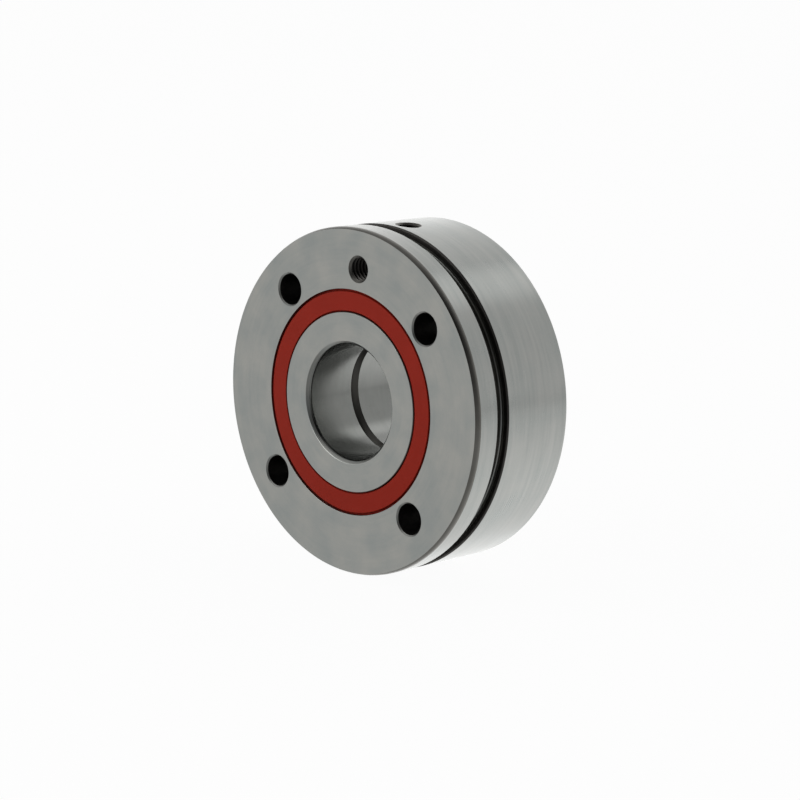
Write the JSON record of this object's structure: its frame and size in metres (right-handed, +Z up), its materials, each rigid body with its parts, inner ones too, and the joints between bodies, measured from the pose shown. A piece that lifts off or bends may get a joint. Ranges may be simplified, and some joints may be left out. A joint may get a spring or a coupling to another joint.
{
  "type": "axial angular contact ball bearing",
  "caption": "Double-row axial angular contact ball bearing with split inner ring, contact seals and a thick outer ring drilled for flange bolts; holds a shaft or screw in both axial directions.",
  "frame": {"origin": "on the bearing axis, in the plane where the two halves of the inner ring meet, half way between the faces", "axes": "Y along the bearing axis with the face that has the tapped port towards -Y, +Z up through both lubrication ports"},
  "size_m": [0.075, 0.028, 0.075],
  "materials": {
    "outer_ring_steel": "fine ground bearing steel",
    "inner_ring_steel": "fine ground bearing steel",
    "ball_steel": "polished bearing steel",
    "cage_polyamide": "moulded polyamide",
    "seal_rubber": "moulded red rubber, satin",
    "sheet_steel": "pressed sheet steel",
    "plug_steel": "blackened steel"
  },
  "bodies": {
    "outer_ring_unit": {"outer_ring": "outer_ring_steel", "front_seal": "seal_rubber", "rear_seal": "seal_rubber", "front_seal_stiffener": "sheet_steel", "rear_seal_stiffener": "sheet_steel", "radial_port_plug": "plug_steel"},
    "inner_ring": {"inner_ring_front": "inner_ring_steel", "inner_ring_rear": "inner_ring_steel"},
    "front_cage": {"front_cage": "cage_polyamide"},
    "rear_cage": {"rear_cage": "cage_polyamide"},
    "front_ball_01": {"front_ball_01": "ball_steel"},
    "front_ball_02": {"front_ball_02": "ball_steel"},
    "front_ball_03": {"front_ball_03": "ball_steel"},
    "front_ball_04": {"front_ball_04": "ball_steel"},
    "front_ball_05": {"front_ball_05": "ball_steel"},
    "front_ball_06": {"front_ball_06": "ball_steel"},
    "front_ball_07": {"front_ball_07": "ball_steel"},
    "front_ball_08": {"front_ball_08": "ball_steel"},
    "front_ball_09": {"front_ball_09": "ball_steel"},
    "front_ball_10": {"front_ball_10": "ball_steel"},
    "front_ball_11": {"front_ball_11": "ball_steel"},
    "front_ball_12": {"front_ball_12": "ball_steel"},
    "front_ball_13": {"front_ball_13": "ball_steel"},
    "front_ball_14": {"front_ball_14": "ball_steel"},
    "front_ball_15": {"front_ball_15": "ball_steel"},
    "front_ball_16": {"front_ball_16": "ball_steel"},
    "front_ball_17": {"front_ball_17": "ball_steel"},
    "rear_ball_01": {"rear_ball_01": "ball_steel"},
    "rear_ball_02": {"rear_ball_02": "ball_steel"},
    "rear_ball_03": {"rear_ball_03": "ball_steel"},
    "rear_ball_04": {"rear_ball_04": "ball_steel"},
    "rear_ball_05": {"rear_ball_05": "ball_steel"},
    "rear_ball_06": {"rear_ball_06": "ball_steel"},
    "rear_ball_07": {"rear_ball_07": "ball_steel"},
    "rear_ball_08": {"rear_ball_08": "ball_steel"},
    "rear_ball_09": {"rear_ball_09": "ball_steel"},
    "rear_ball_10": {"rear_ball_10": "ball_steel"},
    "rear_ball_11": {"rear_ball_11": "ball_steel"},
    "rear_ball_12": {"rear_ball_12": "ball_steel"},
    "rear_ball_13": {"rear_ball_13": "ball_steel"},
    "rear_ball_14": {"rear_ball_14": "ball_steel"},
    "rear_ball_15": {"rear_ball_15": "ball_steel"},
    "rear_ball_16": {"rear_ball_16": "ball_steel"},
    "rear_ball_17": {"rear_ball_17": "ball_steel"}
  },
  "joints": [
    {"name": "inner_ring_turn", "type": "hinge", "parent": "outer_ring_unit", "child": "inner_ring", "pos_m": [0, 0, 0], "axis": [0, 1, 0], "continuous": true},
    {"name": "front_cage_turn", "type": "hinge", "parent": "outer_ring_unit", "child": "front_cage", "pos_m": [0, -0.005, 0], "axis": [0, 1, 0], "continuous": true},
    {"name": "front_ball_01_spin", "type": "hinge", "parent": "front_cage", "child": "front_ball_01", "pos_m": [-0.00759, -0.005, 0.01958], "axis": [0.3128, 0.5, -0.8075], "continuous": true},
    {"name": "front_ball_02_spin", "type": "hinge", "parent": "front_cage", "child": "front_ball_02", "pos_m": [-0.01415, -0.005, 0.01552], "axis": [0.5834, 0.5, -0.64], "continuous": true},
    {"name": "front_ball_03_spin", "type": "hinge", "parent": "front_cage", "child": "front_ball_03", "pos_m": [-0.0188, -0.005, 0.00936], "axis": [0.7752, 0.5, -0.386], "continuous": true},
    {"name": "front_ball_04_spin", "type": "hinge", "parent": "front_cage", "child": "front_ball_04", "pos_m": [-0.02091, -0.005, 0.00194], "axis": [0.8623, 0.5, -0.0799], "continuous": true},
    {"name": "front_ball_05_spin", "type": "hinge", "parent": "front_cage", "child": "front_ball_05", "pos_m": [-0.0202, -0.005, -0.00575], "axis": [0.833, 0.5, 0.237], "continuous": true},
    {"name": "front_ball_06_spin", "type": "hinge", "parent": "front_cage", "child": "front_ball_06", "pos_m": [-0.01676, -0.005, -0.01266], "axis": [0.6911, 0.5, 0.5219], "continuous": true},
    {"name": "front_ball_07_spin", "type": "hinge", "parent": "front_cage", "child": "front_ball_07", "pos_m": [-0.01106, -0.005, -0.01785], "axis": [0.4559, 0.5, 0.7363], "continuous": true},
    {"name": "front_ball_08_spin", "type": "hinge", "parent": "front_cage", "child": "front_ball_08", "pos_m": [-0.00386, -0.005, -0.02064], "axis": [0.1591, 0.5, 0.8513], "continuous": true},
    {"name": "front_ball_09_spin", "type": "hinge", "parent": "front_cage", "child": "front_ball_09", "pos_m": [0.00386, -0.005, -0.02064], "axis": [-0.1591, 0.5, 0.8513], "continuous": true},
    {"name": "front_ball_10_spin", "type": "hinge", "parent": "front_cage", "child": "front_ball_10", "pos_m": [0.01106, -0.005, -0.01785], "axis": [-0.4559, 0.5, 0.7363], "continuous": true},
    {"name": "front_ball_11_spin", "type": "hinge", "parent": "front_cage", "child": "front_ball_11", "pos_m": [0.01676, -0.005, -0.01266], "axis": [-0.6911, 0.5, 0.5219], "continuous": true},
    {"name": "front_ball_12_spin", "type": "hinge", "parent": "front_cage", "child": "front_ball_12", "pos_m": [0.0202, -0.005, -0.00575], "axis": [-0.833, 0.5, 0.237], "continuous": true},
    {"name": "front_ball_13_spin", "type": "hinge", "parent": "front_cage", "child": "front_ball_13", "pos_m": [0.02091, -0.005, 0.00194], "axis": [-0.8623, 0.5, -0.0799], "continuous": true},
    {"name": "front_ball_14_spin", "type": "hinge", "parent": "front_cage", "child": "front_ball_14", "pos_m": [0.0188, -0.005, 0.00936], "axis": [-0.7752, 0.5, -0.386], "continuous": true},
    {"name": "front_ball_15_spin", "type": "hinge", "parent": "front_cage", "child": "front_ball_15", "pos_m": [0.01415, -0.005, 0.01552], "axis": [-0.5834, 0.5, -0.64], "continuous": true},
    {"name": "front_ball_16_spin", "type": "hinge", "parent": "front_cage", "child": "front_ball_16", "pos_m": [0.00759, -0.005, 0.01958], "axis": [-0.3128, 0.5, -0.8075], "continuous": true},
    {"name": "front_ball_17_spin", "type": "hinge", "parent": "front_cage", "child": "front_ball_17", "pos_m": [0, -0.005, 0.021], "axis": [0, 0.5, -0.866], "continuous": true},
    {"name": "rear_cage_turn", "type": "hinge", "parent": "outer_ring_unit", "child": "rear_cage", "pos_m": [0, 0.005, 0], "axis": [0, 1, 0], "continuous": true},
    {"name": "rear_ball_01_spin", "type": "hinge", "parent": "rear_cage", "child": "rear_ball_01", "pos_m": [-0.01106, 0.005, 0.01785], "axis": [-0.4559, 0.5, 0.7363], "continuous": true},
    {"name": "rear_ball_02_spin", "type": "hinge", "parent": "rear_cage", "child": "rear_ball_02", "pos_m": [-0.01676, 0.005, 0.01266], "axis": [-0.6911, 0.5, 0.5219], "continuous": true},
    {"name": "rear_ball_03_spin", "type": "hinge", "parent": "rear_cage", "child": "rear_ball_03", "pos_m": [-0.0202, 0.005, 0.00575], "axis": [-0.833, 0.5, 0.237], "continuous": true},
    {"name": "rear_ball_04_spin", "type": "hinge", "parent": "rear_cage", "child": "rear_ball_04", "pos_m": [-0.02091, 0.005, -0.00194], "axis": [-0.8623, 0.5, -0.0799], "continuous": true},
    {"name": "rear_ball_05_spin", "type": "hinge", "parent": "rear_cage", "child": "rear_ball_05", "pos_m": [-0.0188, 0.005, -0.00936], "axis": [-0.7752, 0.5, -0.386], "continuous": true},
    {"name": "rear_ball_06_spin", "type": "hinge", "parent": "rear_cage", "child": "rear_ball_06", "pos_m": [-0.01415, 0.005, -0.01552], "axis": [-0.5834, 0.5, -0.64], "continuous": true},
    {"name": "rear_ball_07_spin", "type": "hinge", "parent": "rear_cage", "child": "rear_ball_07", "pos_m": [-0.00759, 0.005, -0.01958], "axis": [-0.3128, 0.5, -0.8075], "continuous": true},
    {"name": "rear_ball_08_spin", "type": "hinge", "parent": "rear_cage", "child": "rear_ball_08", "pos_m": [0, 0.005, -0.021], "axis": [0, 0.5, -0.866], "continuous": true},
    {"name": "rear_ball_09_spin", "type": "hinge", "parent": "rear_cage", "child": "rear_ball_09", "pos_m": [0.00759, 0.005, -0.01958], "axis": [0.3128, 0.5, -0.8075], "continuous": true},
    {"name": "rear_ball_10_spin", "type": "hinge", "parent": "rear_cage", "child": "rear_ball_10", "pos_m": [0.01415, 0.005, -0.01552], "axis": [0.5834, 0.5, -0.64], "continuous": true},
    {"name": "rear_ball_11_spin", "type": "hinge", "parent": "rear_cage", "child": "rear_ball_11", "pos_m": [0.0188, 0.005, -0.00936], "axis": [0.7752, 0.5, -0.386], "continuous": true},
    {"name": "rear_ball_12_spin", "type": "hinge", "parent": "rear_cage", "child": "rear_ball_12", "pos_m": [0.02091, 0.005, -0.00194], "axis": [0.8623, 0.5, -0.0799], "continuous": true},
    {"name": "rear_ball_13_spin", "type": "hinge", "parent": "rear_cage", "child": "rear_ball_13", "pos_m": [0.0202, 0.005, 0.00575], "axis": [0.833, 0.5, 0.237], "continuous": true},
    {"name": "rear_ball_14_spin", "type": "hinge", "parent": "rear_cage", "child": "rear_ball_14", "pos_m": [0.01676, 0.005, 0.01266], "axis": [0.6911, 0.5, 0.5219], "continuous": true},
    {"name": "rear_ball_15_spin", "type": "hinge", "parent": "rear_cage", "child": "rear_ball_15", "pos_m": [0.01106, 0.005, 0.01785], "axis": [0.4559, 0.5, 0.7363], "continuous": true},
    {"name": "rear_ball_16_spin", "type": "hinge", "parent": "rear_cage", "child": "rear_ball_16", "pos_m": [0.00386, 0.005, 0.02064], "axis": [0.1591, 0.5, 0.8513], "continuous": true},
    {"name": "rear_ball_17_spin", "type": "hinge", "parent": "rear_cage", "child": "rear_ball_17", "pos_m": [-0.00386, 0.005, 0.02064], "axis": [-0.1591, 0.5, 0.8513], "continuous": true}
  ],
  "couplings": [
    {"joint": "front_cage_turn", "follows": "inner_ring_turn", "ratio": 0.4622},
    {"joint": "front_ball_01_spin", "follows": "inner_ring_turn", "ratio": -3.2882},
    {"joint": "front_ball_02_spin", "follows": "inner_ring_turn", "ratio": -3.2882},
    {"joint": "front_ball_03_spin", "follows": "inner_ring_turn", "ratio": -3.2882},
    {"joint": "front_ball_04_spin", "follows": "inner_ring_turn", "ratio": -3.2882},
    {"joint": "front_ball_05_spin", "follows": "inner_ring_turn", "ratio": -3.2882},
    {"joint": "front_ball_06_spin", "follows": "inner_ring_turn", "ratio": -3.2882},
    {"joint": "front_ball_07_spin", "follows": "inner_ring_turn", "ratio": -3.2882},
    {"joint": "front_ball_08_spin", "follows": "inner_ring_turn", "ratio": -3.2882},
    {"joint": "front_ball_09_spin", "follows": "inner_ring_turn", "ratio": -3.2882},
    {"joint": "front_ball_10_spin", "follows": "inner_ring_turn", "ratio": -3.2882},
    {"joint": "front_ball_11_spin", "follows": "inner_ring_turn", "ratio": -3.2882},
    {"joint": "front_ball_12_spin", "follows": "inner_ring_turn", "ratio": -3.2882},
    {"joint": "front_ball_13_spin", "follows": "inner_ring_turn", "ratio": -3.2882},
    {"joint": "front_ball_14_spin", "follows": "inner_ring_turn", "ratio": -3.2882},
    {"joint": "front_ball_15_spin", "follows": "inner_ring_turn", "ratio": -3.2882},
    {"joint": "front_ball_16_spin", "follows": "inner_ring_turn", "ratio": -3.2882},
    {"joint": "front_ball_17_spin", "follows": "inner_ring_turn", "ratio": -3.2882},
    {"joint": "rear_cage_turn", "follows": "inner_ring_turn", "ratio": 0.4622},
    {"joint": "rear_ball_01_spin", "follows": "inner_ring_turn", "ratio": -3.2882},
    {"joint": "rear_ball_02_spin", "follows": "inner_ring_turn", "ratio": -3.2882},
    {"joint": "rear_ball_03_spin", "follows": "inner_ring_turn", "ratio": -3.2882},
    {"joint": "rear_ball_04_spin", "follows": "inner_ring_turn", "ratio": -3.2882},
    {"joint": "rear_ball_05_spin", "follows": "inner_ring_turn", "ratio": -3.2882},
    {"joint": "rear_ball_06_spin", "follows": "inner_ring_turn", "ratio": -3.2882},
    {"joint": "rear_ball_07_spin", "follows": "inner_ring_turn", "ratio": -3.2882},
    {"joint": "rear_ball_08_spin", "follows": "inner_ring_turn", "ratio": -3.2882},
    {"joint": "rear_ball_09_spin", "follows": "inner_ring_turn", "ratio": -3.2882},
    {"joint": "rear_ball_10_spin", "follows": "inner_ring_turn", "ratio": -3.2882},
    {"joint": "rear_ball_11_spin", "follows": "inner_ring_turn", "ratio": -3.2882},
    {"joint": "rear_ball_12_spin", "follows": "inner_ring_turn", "ratio": -3.2882},
    {"joint": "rear_ball_13_spin", "follows": "inner_ring_turn", "ratio": -3.2882},
    {"joint": "rear_ball_14_spin", "follows": "inner_ring_turn", "ratio": -3.2882},
    {"joint": "rear_ball_15_spin", "follows": "inner_ring_turn", "ratio": -3.2882},
    {"joint": "rear_ball_16_spin", "follows": "inner_ring_turn", "ratio": -3.2882},
    {"joint": "rear_ball_17_spin", "follows": "inner_ring_turn", "ratio": -3.2882}
  ]
}
